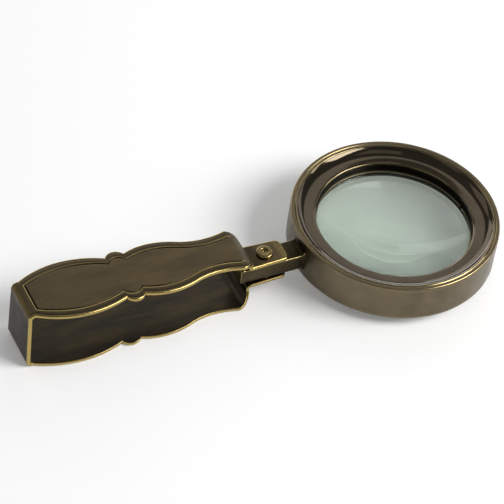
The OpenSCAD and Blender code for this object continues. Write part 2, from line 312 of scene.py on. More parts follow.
def plate_half_width(u, wall_half_w):
    """Half width of a plate at u, meeting the closed end at wall_half_w."""
    dip = SMALL_HALF_W - WAIST_HALF_W
    waist_left_r = arc_radius(WAIST_U - SMALL_U, dip) - SMALL_RIGHT_R
    join_u = SMALL_U + (WAIST_U - SMALL_U) * SMALL_RIGHT_R / (SMALL_RIGHT_R + waist_left_r)
    lobe = crown(LOBE_HALF_W, LOBE_R, u - LOBE_U) if abs(u - LOBE_U) < LOBE_R else 0
    if u <= LARGE_U:
        left_r = arc_radius(LARGE_U - END_BEND_U, LARGE_HALF_W - wall_half_w)
        return crown(LARGE_HALF_W, left_r, max(u, END_BEND_U) - LARGE_U)
    if u <= LOBE_U:
        return max(crown(LARGE_HALF_W, LARGE_RIGHT_R, u - LARGE_U), lobe)
    if u <= SMALL_U:
        return max(crown(SMALL_HALF_W, SMALL_LEFT_R, u - SMALL_U), lobe)
    if u <= join_u:
        return crown(SMALL_HALF_W, SMALL_RIGHT_R, u - SMALL_U)
    waist_r = waist_left_r if u <= WAIST_U else WAIST_RIGHT_R
    return hollow(WAIST_HALF_W, waist_r, u - WAIST_U)


def notch_places():
    """Where the round lobe's arc meets the bulges on either side of it."""
    places = []
    for sign, half_w, r, crown_u in ((-1, LARGE_HALF_W, LARGE_RIGHT_R, LARGE_U),
                                     (1, SMALL_HALF_W, SMALL_LEFT_R, SMALL_U)):
        near, far = 0.0, LOBE_R - TINY
        for _ in range(40):
            mid = (near + far) / 2
            u = LOBE_U + sign * mid
            if crown(LOBE_HALF_W, LOBE_R, mid) > crown(half_w, r, u - crown_u):
                near = mid
            else:
                far = mid
        places.append(LOBE_U + sign * near)
    return places


def top_z(u):
    """Height of the upper plate's outer face, which slopes down to the hinge end."""
    return HINGE_H + (CLOSED_H - HINGE_H) * (CORNER_U - u) / (CORNER_U + HANDLE_REACH)


# ---------------------------------------------------------------- rows along the handle's sheet
def plate_stations(from_u, to_u):
    """Places of the rows along a plate, closer together round the lobe and at the engraved end line."""
    notch_a, notch_b = notch_places()
    reach_a, reach_b = (math.asin((notch - LOBE_U) / LOBE_R) for notch in (notch_a, notch_b))
    end_line = GROOVE_END_U + GROOVE_STATIONS
    return np.concatenate([
        [from_u + 0.4], end_line,
        np.linspace(end_line[-1] + 0.4, notch_a - 0.5, LARGE_ROWS), notch_a - NOTCH_OFFSETS[::-1],
        LOBE_U + LOBE_R * np.sin(np.linspace(reach_a, reach_b, LOBE_ROWS)), notch_b + NOTCH_OFFSETS,
        np.linspace(notch_b + 0.5, to_u, SMALL_ROWS)[:-1],
    ])


def plate_shares(p, q):
    """The plate's stations as shares of the way from p to q."""
    stations = plate_stations(min(p[0], q[0]), max(p[0], q[0]))
    return np.sort((stations - p[0]) / (q[0] - p[0]))


def strip_corners():
    """Corners of the sheet's centreline in u and z, from the upper ear round to the lower one, and its bend radii."""
    end_u = -HANDLE_REACH + HALF_T
    bend_u = WALL_U - HALF_T
    upper_ear_z = HINGE_Z + EAR_HALF_H - HALF_T
    lower_ear_z = HINGE_Z - EAR_HALF_H + HALF_T
    corners = [
        (EAR_REACH, upper_ear_z), (bend_u, upper_ear_z), (bend_u, top_z(bend_u) - HALF_T),
        (end_u, top_z(end_u) - HALF_T), (end_u, HALF_T), (bend_u, HALF_T),
        (bend_u, lower_ear_z), (EAR_REACH, lower_ear_z),
    ]
    return corners, [EAR_BEND_R, UPPER_BEND_R, END_BEND_R, END_BEND_R, LOWER_BEND_R, EAR_BEND_R]


def strip_row(u, z, normal, w, cut=(None, 0.0), squeeze=1.0, crest=0.0, quirk=0.0, painted_shade=0.0):
    """One row across the sheet: its place, outward direction and half width, and how it is marked.

    cut is (u of the row or None, share of the engraved line's depth), squeeze draws the columns together, quirk is the
    fine line's share, crest is wear over the whole outer face, and the last argument darkens the whole outer face as
    painted shade.
    """
    return dict(u=u, z=z, n=normal, w=w, cut=cut, squeeze=squeeze, crest=crest, quirk=quirk, painted_shade=painted_shade)


def clamped(value):
    return min(max(value, 0), 1)


def ear_section(t, u):
    """An ear, rubbed bare towards its tip and darker towards the handle, which is painted shade."""
    share = clamped((u - WALL_U) / (EAR_REACH - EAR_CORNER_R - WALL_U))
    return dict(w=EAR_HALF_W + (EAR_TIP_HALF_W - EAR_HALF_W) * share, squeeze=EAR_SQUEEZE,
                crest=EAR_TIP_WEAR * clamped((u - 1.5) / 4), painted_shade=EAR_ROOT_SHADE * clamped((-u - 0.5) / 4))


def hinge_wall_section(t, u):
    return dict(w=EAR_HALF_W, squeeze=EAR_SQUEEZE)


def end_wall_section(t, u):
    # The closed end wall is darkened all over, as painted shade.
    return dict(w=WALL_HALF_W_TOP + (WALL_HALF_W_FOOT - WALL_HALF_W_TOP) * t, painted_shade=END_WALL_SHADE)


def plate_section(wall_half_w):
    return lambda t, u: dict(w=plate_half_width(u, wall_half_w), cut=(u, 1.0), quirk=1.0)


def crest_at(t):
    """Wear along a bend, greatest at its middle."""
    return math.exp(-((t - 0.5) / CREST_WIDTH) ** 2)


def shoulder_section(t, wall_half_w):
    """Section round a hinge-end bend, from the plate at 0 to the wall at 1. It swells a little before it narrows."""
    corner_w = plate_half_width(CORNER_U, wall_half_w)
    return dict(w=corner_w + (EAR_HALF_W - corner_w) * t + SHOULDER * t * (1 - t) ** 2,
                cut=(None, max(0.0, 1 - GROOVE_FADE * t)), squeeze=1 + (EAR_SQUEEZE - 1) * t,
                crest=SHOULDER_CREST_WEAR * crest_at(t), quirk=1 - t)


def sheet_normal(p, q):
    """Outward direction of the sheet on its way from p to q."""
    along = (np.array(q) - np.array(p)) / np.linalg.norm(np.array(q) - np.array(p))
    return np.array([along[1], -along[0]])


def leg_rows(ends, shares, section):
    """Rows of a straight stretch. section(t, u) gives a row's width and marks."""
    start, run = np.array(ends[0]), np.array(ends[1]) - np.array(ends[0])
    rows = []
    for t in shares:
        u, z = start + run * t
        rows.append(strip_row(u, z, sheet_normal(*ends), **section(t, u)))
    return rows


def bend_rows(arc, before, after, section):
    """Rows round a bend between two straight stretches. section(t) gives a row's width and marks."""
    a, b = sheet_normal(*before), sheet_normal(*after)
    angle = math.acos(float(np.clip(a @ b, -1, 1)))
    rows = []
    for i, (u, z) in enumerate(arc):
        t = i / (len(arc) - 1)
        normal = (math.sin((1 - t) * angle) * a + math.sin(t * angle) * b) / math.sin(angle)
        rows.append(strip_row(u, z, normal, **section(t)))
    return rows


def strip_rows():
    """All rows of the strip from the upper ear's corner arc to the lower ear's corner arc."""
    corners, radii = strip_corners()
    arcs = [rounded_corner(*corners[i:i + 3], radius, BEND_STEPS)[0] for i, radius in enumerate(radii)]
    stops = [(EAR_REACH - EAR_CORNER_R, corners[0][1])]
    for arc in arcs:
        stops += [arc[0], arc[-1]]
    stops.append((EAR_REACH - EAR_CORNER_R, corners[-1][1]))
    legs = list(zip(stops[::2], stops[1::2]))

    ear_shares, wall_shares = np.linspace(0, 1, 12), [0.33, 0.67]
    leg_plans = [
        (ear_shares[:-1], ear_section), (wall_shares, hinge_wall_section),
        (plate_shares(*legs[2]), plate_section(WALL_HALF_W_TOP)),
        (np.linspace(0, 1, 14)[1:-1], end_wall_section),
        (plate_shares(*legs[4]), plate_section(WALL_HALF_W_FOOT)),
        (wall_shares, hinge_wall_section), (ear_shares[1:], ear_section),
    ]
    bend_plans = [
        lambda t: dict(w=EAR_HALF_W, squeeze=EAR_SQUEEZE),
        lambda t: shoulder_section(1 - t, WALL_HALF_W_TOP),
        lambda t: dict(w=WALL_HALF_W_TOP, crest=END_CREST_WEAR * crest_at(t), quirk=1 - t),
        lambda t: dict(w=WALL_HALF_W_FOOT, crest=FOOT_CREST_WEAR * crest_at(t), quirk=t),
        lambda t: shoulder_section(t, WALL_HALF_W_FOOT),
        lambda t: dict(w=EAR_HALF_W, squeeze=EAR_SQUEEZE),
    ]
    rows = []
    for i, (shares, section) in enumerate(leg_plans):
        rows += leg_rows(legs[i], shares, section)
        if i < len(arcs):
            rows += bend_rows(arcs[i], legs[i], legs[i + 1], bend_plans[i])
    return rows


# ---------------------------------------------------------------- columns across the handle's sheet
def side_columns():
    """Columns of one half of the sheet's section, from the outer face's middle round the edge to the inner face's.

    Each is (kind, distance, height, wear, inside). An edge column's distance is from the edge in millimetres, and a
    share column's is from the middle, as a share of the width left between the edge columns.
    """
    face = [QUIRK_INSET + QUIRK_W / 2 * k for k in (-1, 0, 1)] + [BEAD_INSET]
    face += list(GROOVE_INSET + GROOVE_STATIONS)
    columns = [("share", share, HALF_T, 0.0, 0.0) for share in ACROSS_SHARES]
    columns += [("edge", distance, HALF_T, 0.0, 0.0) for distance in reversed(face)]
    for share in np.linspace(0, 1, EDGE_STEPS + 1):
        a = math.pi / 2 * share
        columns.append(("edge", OUTER_EDGE_R * (1 - math.sin(a)), HALF_T - OUTER_EDGE_R * (1 - math.cos(a)),
                        EDGE_WEAR + (1 - EDGE_WEAR) * share, 0.0))
    for share in np.linspace(0, 1, EDGE_STEPS + 1):
        a = math.pi / 2 * share
        columns.append(("edge", INNER_EDGE_R * (1 - math.cos(a)), -HALF_T + INNER_EDGE_R * (1 - math.sin(a)),
                        1 - (1 - INNER_EDGE_WEAR) * share, 0.6 * share))
    columns += [("edge", distance, -HALF_T, 0.0, 1.0) for distance in face[1:]]
    columns += [("share", share, -HALF_T, 0.0, 1.0) for share in reversed(ACROSS_SHARES)]
    return columns


def squeezed(distance, squeeze):
    """Column distances beyond the rounded edge draw together where the strip is narrow."""
    return distance if distance <= OUTER_EDGE_R else OUTER_EDGE_R + (distance - OUTER_EDGE_R) * squeeze


def strip_loop(columns):
    """The closed section as (side, column), outer middle, right half, inner middle, left half."""
    middle_out = ("share", 0.0, HALF_T, 0.0, 0.0)
    middle_in = ("share", 0.0, -HALF_T, 0.0, 1.0)
    return ([(1, middle_out)] + [(1, c) for c in columns] + [(1, middle_in)]
            + [(-1, c) for c in reversed(columns)])


def groove_cut(m):
    """Depth of the engraved line, as a share of its full depth, at a distance m from its middle."""
    return float(np.interp(abs(m) / (GROOVE_W / 2), [0, 0.25, 0.8, 1.0], [1, 0.95, 0.1, 0]))


def outer_face_marks(row, kind, distance):
    """How far a point of the outer face is cut down, and its wear and dirt, by the engraved line and the fine line, on
    top of the row's painted shade.
    """
    lowered, wear, dirt_and_shade = 0.0, 0.0, row["painted_shade"]
    u_cut, share = row["cut"]
    if share > 0:
        from_side = (distance if kind == "edge" else NOWHERE_NEAR) - GROOVE_INSET
        from_end = NOWHERE_NEAR if u_cut is None else u_cut - GROOVE_END_U
        past_line = min(from_side, from_end)
        cut = groove_cut(past_line) * share
        lowered = GROOVE_DEPTH * cut
        dirt_and_shade = max(dirt_and_shade, min(cut * GROOVE_DIRT_GAIN, 1.0) * share)
        if GROOVE_LIP[0] < past_line < GROOVE_LIP[1]:
            wear = GROOVE_LIP_WEAR * share
        if past_line < -GROOVE_W and distance > OUTER_EDGE_R:
            dirt_and_shade = max(dirt_and_shade, BORDER_DIRT * share)
    if kind == "edge" and abs(distance - QUIRK_INSET) < TINY:
        lowered += QUIRK_DEPTH * row["quirk"]
        dirt_and_shade = max(dirt_and_shade, QUIRK_DIRT * row["quirk"])
    return lowered, wear, dirt_and_shade


def strip_point(row, side, column, deepest):
    """Place and marks of one point of a row."""
    kind, distance, height, wear, inside = column
    if kind == "edge":
        y = row["w"] - squeezed(distance, row["squeeze"])
    else:
        y = (row["w"] - squeezed(deepest, row["squeeze"])) * distance
    wear = max(wear, row["crest"] if height > 0 else 0.0)
    dirt_and_shade = 0.0
    if height == HALF_T:
        lowered, rubbed, dirt_and_shade = outer_face_marks(row, kind, distance)
        height -= lowered
        wear = max(wear, rubbed)
    nx, nz = row["n"]
    return (HINGE_X + row["u"] + nx * height, side * y, row["z"] + nz * height), wear, dirt_and_shade, inside


def ear_tip_rows(z, nz, columns, deepest):
    """Rows that turn round an ear's rounded corners. The columns near the edge fan about the corner's centre."""
    reach = squeezed(deepest, EAR_SQUEEZE)
    centre_u, centre_y = EAR_REACH - EAR_CORNER_R, EAR_TIP_HALF_W - EAR_CORNER_R
    rows = []
    for i in range(1, TIP_STEPS + 1):
        a = math.pi / 2 * i / TIP_STEPS
        row = []
        for side, (kind, distance, height, wear, inside) in strip_loop(columns):
            d = squeezed(distance, EAR_SQUEEZE) if kind == "edge" else reach
            u = centre_u + (EAR_CORNER_R - d) * math.sin(a)
            y = centre_y + (EAR_CORNER_R - d) * math.cos(a)
            if kind == "share":
                y *= distance
            rubbed = max(wear, EAR_TIP_WEAR) if height > 0 else wear
            row.append(((HINGE_X + u, side * y, z + nz * height), rubbed, 0.0, inside))
        rows.append(row)
    return rows


def close_ear_tip(points, base, wide):
    """Closes an ear's tip by carrying the edge's section straight across between its two corners.

    base is the index of the tip row's first point. Adds the points it needs and returns the faces.
    """
    edge_from = len(ACROSS_SHARES) + 1
    edge_to = wide // 2 - edge_from
    grid = [[base + k % wide for k in range(edge_from, -edge_from - 1, -1)]]
    for j in range(edge_from + 1, edge_to):
        right, left = base + j, base + wide - j
        (x, y, z), wear, _, inside = points[right]
        first = len(points)
        points += [((x, y * share, z), wear, 0.0, inside)
                   for share in (*reversed(ACROSS_SHARES), 0.0, *(-s for s in ACROSS_SHARES))]
        grid.append([right, *range(first, len(points)), left])
    grid.append([base + k for k in range(edge_to, wide - edge_to + 1)])
    return [(upper[k], upper[k + 1], lower[k + 1], lower[k])
            for upper, lower in zip(grid, grid[1:]) for k in range(len(upper) - 1)]


def handle_strip():
    columns = side_columns()
    deepest = max(distance for kind, distance, *_ in columns if kind == "edge")
    loop = strip_loop(columns)
    plain = [[strip_point(row, side, column, deepest) for side, column in loop] for row in strip_rows()]
    corners, _ = strip_corners()
    upper_tip = ear_tip_rows(corners[0][1], 1, columns, deepest)
    lower_tip = ear_tip_rows(corners[-1][1], -1, columns, deepest)
    rows = upper_tip[::-1] + plain + lower_tip
    points = [point for row in rows for point in row]
    faces = tube_faces(len(rows), len(loop))
    for r in (0, len(rows) - 1):
        faces += close_ear_tip(points, r * len(loop), len(loop))
    places, wear, dirt_and_shade, inside = zip(*points)
    piece = outward(mesh_object("handle_strip", places, faces, {"wear": wear, "dirt_and_shade": dirt_and_shade, "inside": inside}))
    return drill(piece, (HINGE_X, 0, HINGE_Z), (0, 0, 1), HOLE_R, 2 * EAR_HALF_H + 2)


# ---------------------------------------------------------------- hinge
def rivet():
    """Tubular rivet: a dished head above the upper ear, a plain shank, and a rolled tail below the burr washer."""
    head, foot = EAR_HALF_H, -EAR_HALF_H - BURR_T
    top = head + RIVET_HEAD_H
    tail = [(0, foot - 0.3, 0), (1.05, foot - 0.3, 0), (1.3, foot - 0.8, 0.12), (2.05, foot - 0.8, 0.2), (2.3, foot, 0)]
    shank = [(RIVET_R, foot, 0), (RIVET_R, head, 0)]
    rim = [(RIVET_HEAD_R, head, 0.08), (RIVET_HEAD_R, top - 0.25, 0.35), (RIVET_HEAD_R - 0.45, top, 0.25)]
    dish = [(RIVET_HEAD_R - 1.45, top, 0.2), (RIVET_HEAD_R - 1.75, top - 0.4, 0.2), (0.5, top - 0.45, 0.2),
            (0.35, top - 0.75, 0.12), (0, top - 0.8, 0)]
    profile = rounded_profile(tail + shank + rim + dish, sharp_wear=0.1)
    return lathe("hinge_rivet_turned", profile, HINGE, 96)


def arm_rows(ring_edge):
    """Rows along the arm as (u, inset, flare, wear): its rounded tail, the plain bar and the fillet at the ring."""
    foot_start = ring_edge - ARM_FILLET_R
    fillet_share = 0.94
    rows = [(-ARM_TAIL, ARM_TAIL_R, 0.0, 0.4)]
    for i in range(1, 5):
        a = math.pi / 2 * i / 4
        rows.append((-ARM_TAIL + ARM_TAIL_R * (1 - math.cos(a)), ARM_TAIL_R * (1 - math.sin(a)), 0.0,
                     math.sin(2 * a)))
    rows += [(u, 0.0, 0.0, 0.0) for u in np.linspace(-ARM_TAIL + 1, foot_start, 24)]
    for i in range(1, 9):
        a = math.pi / 2 * i / 8 * fillet_share
        rows.append((foot_start + ARM_FILLET_R * math.sin(a), 0.0, ARM_FILLET_R * (1 - math.cos(a)), 0.0))
    return rows + [(ring_edge + ARM_SINK, 0.0, ARM_FILLET_R, 0.0)]


def arm():
    """Bar of rounded section from its tail to the ring, with the rivet's hole and the screw's."""
    ring_edge = LENS_OFFSET - RING_R
    rows = arm_rows(ring_edge)
    steps = 5
    points, wear, dirt_and_shade = [], [], []
    for u, inset, flare, rubbed in rows:
        flat_w, flat_h = ARM_HALF_W - inset - ARM_EDGE_R, ARM_T / 2 + flare - inset - ARM_EDGE_R
        near_ring = clamped((u - EAR_REACH + 1) / 3)
        for corner, (sy, sz) in enumerate(((1, 1), (-1, 1), (-1, -1), (1, -1))):
            for i in range(steps + 1):
                a = math.pi / 2 * (corner + i / steps)
                points.append((HINGE_X + u, sy * flat_w + ARM_EDGE_R * math.cos(a),
                               HINGE_Z + sz * flat_h + ARM_EDGE_R * math.sin(a)))
                wear.append(max(rubbed, math.sin(math.pi * i / steps)))
                # Painted shade: the arm's top and bottom darken towards the ring, which shades them.
                dirt_and_shade.append(ARM_FOOT_SHADE * near_ring * abs(math.sin(a)) ** 4)
    wide = 4 * (steps + 1)
    faces = tube_faces(len(rows), wide)
    faces += [tuple(range(wide)), tuple(reversed(range((len(rows) - 1) * wide, len(rows) * wide)))]
    piece = outward(mesh_object("arm_bar", points, faces, {"wear": wear, "dirt_and_shade": dirt_and_shade}))
    piece = drill(piece, (HINGE_X, 0, HINGE_Z), (0, 0, 1), HOLE_R, ARM_T + 4)
    return drill(piece, (HINGE_X + ring_edge, 0, HINGE_Z), (1, 0, 0), SCREW_HOLE_R, length=15)


# ---------------------------------------------------------------- lens head
def ring_band():
    """Outer band with rounded rims, drilled for the arm's screw."""
    inner, shoulder, shoulder_z = RING_R - BAND_T, RING_R - 0.2, RING_HALF_H - 0.9
    corners = [
        (inner, -RING_HALF_H, 0.3), (shoulder, -RING_HALF_H, 0.35), (RING_R, -shoulder_z, 0.5),
        (RING_R, shoulder_z, 0.5), (shoulder, RING_HALF_H, 0.35), (inner, RING_HALF_H, 0.3),
    ]
    piece = lathe("ring_band", rounded_profile(corners, 6), LENS_CENTRE, 256)
    return drill(piece, (LENS_X - RING_R, 0, HINGE_Z), (1, 0, 0), SCREW_HOLE_R, length=6)


def bezel_profile():
    """Dress ring: a bead at the rim, the dished cove, the lip round the opening, and a collar that grips the cell."""
    top = RING_HALF_H
    cove_h = top - 0.55 - COVE_LOW
    cove_w = COVE_START_R - COVE_END_R
    skin = 0.9
    collar_r, collar_low = CELL_R + CELL_WALL, CELL_HALF_H - 1.8
    bead = [
        (BEZEL_R, top - 3, 0.1), (BEZEL_R, top - 0.1, 0.5), (BEZEL_R - 0.62, top, 0.4),
        (BEZEL_R - 1.1, top - 0.25, 0.3),
    ]
    cove = [(COVE_START_R - cove_w * t, COVE_LOW + cove_h * (1 - t) ** COVE_POWER, 0) for t in np.linspace(0, 1, 29)]
    lip = [(OPENING_R + 1.4, LIP_Z + 0.16, 0), (OPENING_R + 0.7, LIP_Z + 0.1, 0.3), (OPENING_R, LIP_Z - 0.25, 0.4)]
    collar = [
        (OPENING_R, CELL_HALF_H, 0.06), (collar_r, CELL_HALF_H, 0.06), (collar_r, collar_low, 0.06),
        (collar_r + skin, collar_low, 0.06),
    ]
    back = [
        (collar_r + skin, LIP_Z - skin, 0.1), (COVE_END_R + 1.5, LIP_Z - skin + 0.3, 0.3),
        (BEZEL_R - 1.3, top - 2.2, 0.3), (BEZEL_R - 1.1, top - 3, 0.06),
    ]
    profile = []
    for r, z, wear, dirt_and_shade in rounded_profile(bead + cove + lip + collar + back):
        # Painted shade: the cove darkens towards the bead.
        if COVE_END_R < r < COVE_START_R and z > COVE_LOW:
            dirt_and_shade = max(dirt_and_shade, COVE_SHADE * (r - COVE_END_R) / cove_w)
        profile.append((r, z, wear, dirt_and_shade))
    return profile


def bezel(name, side):
    profile = [(r, side * z, wear, dirt_and_shade) for r, z, wear, dirt_and_shade in bezel_profile()]
    return lathe(name, profile, LENS_CENTRE, 256)


def face_z(r):
    """Height of the lens's upper face above its middle plane at radius r."""
    lens_sag = LENS_CURVE_R - math.sqrt(LENS_CURVE_R ** 2 - LENS_R ** 2)
    return LENS_EDGE_T / 2 + lens_sag - LENS_CURVE_R + math.sqrt(LENS_CURVE_R ** 2 - r * r)


def lens_glass():
    """Biconvex glass with its edge ground flat and slightly chamfered."""
    rings, chamfer_r, chamfer_z = 40, 0.12, 0.1
    radii = [LENS_R * i / rings for i in range(rings)] + [LENS_R - chamfer_r]
    edge_z = face_z(LENS_R) - chamfer_z
    upper = [(r, LENS_Z + face_z(r), 0.0, 0.0) for r in radii]
    edge = [(LENS_R, LENS_Z + edge_z, 0.0, 1.0), (LENS_R, LENS_Z - edge_z, 0.0, 1.0)]
    lower = [(r, LENS_Z - face_z(r), 0.0, 0.0) for r in reversed(radii)]
    return lathe("lens_disc", upper + edge + lower, LENS_CENTRE)


def cell():
    """Tube round the lens, with the ledge that the gasket and the lens sit on."""
    seat_top = LENS_Z - face_z(SEAT_INNER_R) - GASKET_T
    seat_low = seat_top - 0.7
    h, outer = CELL_HALF_H, CELL_R + CELL_WALL
    corners = [
        (SEAT_INNER_R, seat_low, 0.1), (CELL_R, seat_low, 0.1), (CELL_R, -h, 0.1), (outer, -h, 0.1),
        (outer, h, 0.1), (CELL_R, h, 0.1), (CELL_R, seat_top, 0.05), (SEAT_INNER_R, seat_top, 0.1),
    ]
    return lathe("cell_tube", rounded_profile(corners, 3), LENS_CENTRE)


# ---------------------------------------------------------------- materials
class Material:
    """A new material, with short calls for the nodes used here. Colours are (red, green, blue)."""

    def __init__(self, name):
        self.material = bpy.data.materials.new(name)
        self.material.use_nodes = True
        self.nodes, self.links = self.material.node_tree.nodes, self.material.node_tree.links
        self.shader = self.nodes["Principled BSDF"]

    def feed(self, socket, value):
        """Gives a socket a number, a colour or another node's output."""
        if isinstance(value, (int, float)):
            socket.default_value = value
        elif isinstance(value, tuple):
            socket.default_value = (*value, 1)
        else:
            self.links.new(value, socket)

    def shade(self, **values):
        """Feeds the shader's inputs, named with _ for each space."""
        for name, value in values.items():
            self.feed(self.shader.inputs[name.replace("_", " ")], value)

    def object_place(self):
        return self.nodes.new("ShaderNodeTexCoord").outputs["Object"]

    def mark(self, name):
        attribute = self.nodes.new("ShaderNodeAttribute")
        attribute.attribute_name = name
        return attribute.outputs["Fac"]

    def noise(self, coords, stretch, detail, roughness=0.55):
        """Noise from 0 to 1 with stretch cycles per metre along each axis."""
        mapping, noise = self.nodes.new("ShaderNodeMapping"), self.nodes.new("ShaderNodeTexNoise")
        mapping.inputs["Scale"].default_value = stretch
        for name, value in (("Scale", 1.0), ("Detail", detail), ("Roughness", roughness)):
            noise.inputs[name].default_value = value
        self.links.new(coords, mapping.inputs["Vector"])
        self.links.new(mapping.outputs["Vector"], noise.inputs["Vector"])
        return noise.outputs["Fac"]

    def spread(self, value, low, high, to_low=0.0, to_high=1.0):
        mapped = self.nodes.new("ShaderNodeMapRange")
        for name, bound in (("From Min", low), ("From Max", high), ("To Min", to_low), ("To Max", to_high)):
            mapped.inputs[name].default_value = bound
        self.links.new(value, mapped.inputs["Value"])
        return mapped.outputs["Result"]

    def combine(self, operation, a, b, clamp=False):
        made = self.nodes.new("ShaderNodeMath")
        made.operation, made.use_clamp = operation, clamp
        self.feed(made.inputs[0], a)
        self.feed(made.inputs[1], b)
        return made.outputs["Value"]

    def blend(self, share, a, b):
        """The colour a where share is 0, and b where it is 1."""
        made = self.nodes.new("ShaderNodeMix")
        made.data_type = "RGBA"
        self.links.new(share, made.inputs["Factor"])
        self.feed(made.inputs["A"], a)
        self.feed(made.inputs["B"], b)
        return made.outputs["Result"]


def round_coords(m):
    """Distance round the ring, height, and distance from the lens axis, so that brushing follows the ring."""
    split, joined = m.nodes.new("ShaderNodeSeparateXYZ"), m.nodes.new("ShaderNodeCombineXYZ")
    m.links.new(m.object_place(), split.inputs["Vector"])
    x, y = m.combine("SUBTRACT", split.outputs["X"], LENS_X * MM), split.outputs["Y"]
    squares = m.combine("ADD", m.combine("MULTIPLY", x, x), m.combine("MULTIPLY", y, y))
    m.links.new(m.combine("MULTIPLY", m.combine("ARCTAN2", y, x), RING_R * MM), joined.inputs["X"])
    m.links.new(split.outputs["Z"], joined.inputs["Y"])
    m.links.new(m.combine("SQRT", squares, 0.0), joined.inputs["Z"])
    return joined.outputs["Vector"]


# Cycles of noise per metre: brushing along the handle, round the ring and none, and the clouds of the patina
ALONG, ROUND, EVEN = (250, 4200, 4200), (90, 5200, 5200), (2200, 2200, 2200)
CLOUDS, LONG_CLOUDS, STREAKS = (110, 110, 110), (50, 190, 190), (45, 260, 260)
SPECKS, DUST, HAZE, RUBBER_GRAIN = (1500, 1500, 1500), (2600, 2600, 2600), (60, 60, 60), (900, 900, 900)
# One dark colour serves both dirt and painted shade; the cover is how fully it darkens.
DIRT_AND_SHADE_COLOUR, DIRT_AND_SHADE_COVER = (0.010, 0.007, 0.003), 0.94
SPECK_BUMP = 0.35


def patina_colour(m, coords, blotches, strokes, patina, deep, inside):
    """Two tones of patina in clouds and brush strokes, and on the sheet's inner face another, darker pair in streaks,
    which is painted shade.
    """
    tone = m.spread(blotches, 0.35, 0.68)
    tone = m.combine("ADD", tone, m.spread(strokes, 0.3, 0.7, -0.18, 0.18), clamp=True)
    colour = m.blend(tone, patina, deep)
    if inside is None:
        return colour
    # Painted shade: the inner face takes the darker, streaked pair of tones.
    streaks = m.spread(m.noise(coords, STREAKS, 5, 0.65), 0.36, 0.62)
    return m.blend(m.mark("inside"), colour, m.blend(streaks, *inside))


def worn_share(m, blotches, specks):
    """How bare the metal is: the wear mark, patchy and with a speckled border."""
    rubbed = m.combine("MULTIPLY", m.mark("wear"), m.spread(blotches, 0.35, 0.65, 0.72, 1.12))
    speckled = m.combine("ADD", rubbed, m.spread(specks, 0.3, 0.7, -0.09, 0.09))
    return m.spread(speckled, 0.28, 0.85)


def brass_roughness(m, blotches, specks, worn, rough, worn_rough):
    """Roughness that varies with the clouds and specks of the patina, and is worn_rough on bare metal."""
    patchy = m.spread(blotches, 0.3, 0.7, *rough)
    patchy = m.combine("ADD", patchy, m.spread(specks, 0.3, 0.7, -0.05, 0.05))
    gap = m.combine("SUBTRACT", worn_rough, patchy)
    return m.combine("ADD", patchy, m.combine("MULTIPLY", gap, worn), clamp=True)


def brushed_normal(m, strokes, specks, depth):
    """Bump from the brush strokes and specks, depth metres deep."""
    bump = m.nodes.new("ShaderNodeBump")
    bump.inputs["Strength"].default_value = 1.0
    bump.inputs["Distance"].default_value = depth
    m.links.new(m.combine("ADD", strokes, m.combine("MULTIPLY", specks, SPECK_BUMP)), bump.inputs["Height"])
    return bump.outputs["Normal"]


def brass(name, patina, deep, bare, rough, worn_rough, grain, depth=4e-6, turned=False, inside=None, clouds=CLOUDS,
          lacquer=0.0):
    """Aged brass: patina in the tones patina and deep, bare metal where it is worn, and one dark colour for dirt in the
    lines and for painted shade.

    rough is the patina's range of roughness. turned brushes it round the lens axis. inside is the pair of darker tones
    of the sheet's inner face, painted shade there, and lacquer the share of a glossy coat.
    """
    m = Material(name)
    coords = m.object_place()
    blotches = m.noise(coords, clouds, 5)
    specks = m.noise(coords, SPECKS, 4)
    strokes = m.noise(round_coords(m) if turned else coords, grain, 3, 0.6)
    worn = worn_share(m, blotches, specks)
    colour = patina_colour(m, coords, blotches, strokes, patina, deep, inside)
    # Darkened by the dirt and shade mark: dirt in the lines, and painted shade in the places marked for it.
    darkened = m.combine("MULTIPLY", m.mark("dirt_and_shade"), DIRT_AND_SHADE_COVER, clamp=True)
    m.shade(Base_Color=m.blend(darkened, m.blend(worn, colour, bare), DIRT_AND_SHADE_COLOUR),
            Roughness=brass_roughness(m, blotches, specks, worn, rough, worn_rough),
            Normal=brushed_normal(m, strokes, specks, depth),
            Metallic=1.0, Coat_Weight=lacquer, Coat_Roughness=0.05)
    return m.material


def glass():
    """Clear crown glass, faintly green, with fine dust on it."""
    m = Material("lens_glass")
    coords = m.object_place()
    haze = m.noise(coords, HAZE, 3)
    dust = m.spread(m.noise(coords, DUST, 3), 0.66, 0.8, 0.05, 0.14)
    tint = m.blend(m.spread(haze, 0.3, 0.7), (0.84, 0.93, 0.845), (0.81, 0.90, 0.82))
    m.shade(Base_Color=tint, Roughness=m.combine("MULTIPLY", dust, haze), Transmission_Weight=1.0, IOR=1.52,
            Specular_IOR_Level=0.2)
    return m.material


def rubber():
    """Matt black rubber with a fine grain."""
    m = Material("gasket_rubber")
    grain = m.noise(m.object_place(), RUBBER_GRAIN, 4)
    m.shade(Base_Color=m.blend(m.spread(grain, 0.3, 0.7), (0.010, 0.010, 0.010), (0.022, 0.021, 0.019)),
            Roughness=m.spread(grain, 0.3, 0.7, 0.55, 0.75))
    return m.material


